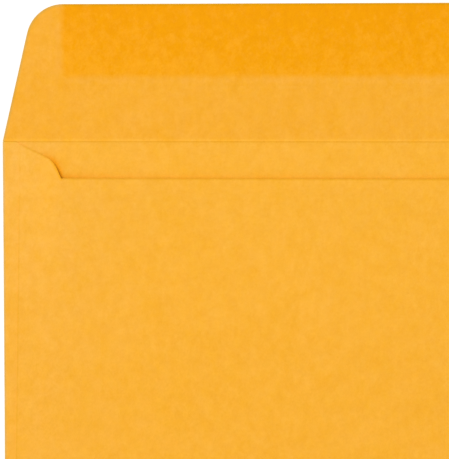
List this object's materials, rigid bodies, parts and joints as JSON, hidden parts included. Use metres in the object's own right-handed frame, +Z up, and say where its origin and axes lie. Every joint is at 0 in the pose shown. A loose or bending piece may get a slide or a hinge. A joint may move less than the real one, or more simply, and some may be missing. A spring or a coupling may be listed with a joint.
{
  "type": "paper envelope",
  "caption": "Flat booklet envelope of golden kraft paper, lying open, with a wide round-cornered flap, a band of dried gum and a straight throat between curved shoulders.",
  "frame": {"origin": "under the centre of the opened envelope, on the table that it lies on", "axes": "+X along the long opening, +Y towards the free edge of the flap, +Z up through the back panel"},
  "size_m": [0.3048, 0.2984, 0.0008],
  "materials": {
    "kraft_paper": "uncoated kraft",
    "dried_gum": "satin"
  },
  "bodies": {
    "root": {"envelope_sheet": "kraft_paper", "gum_strip": "dried_gum"}
  },
  "joints": []
}
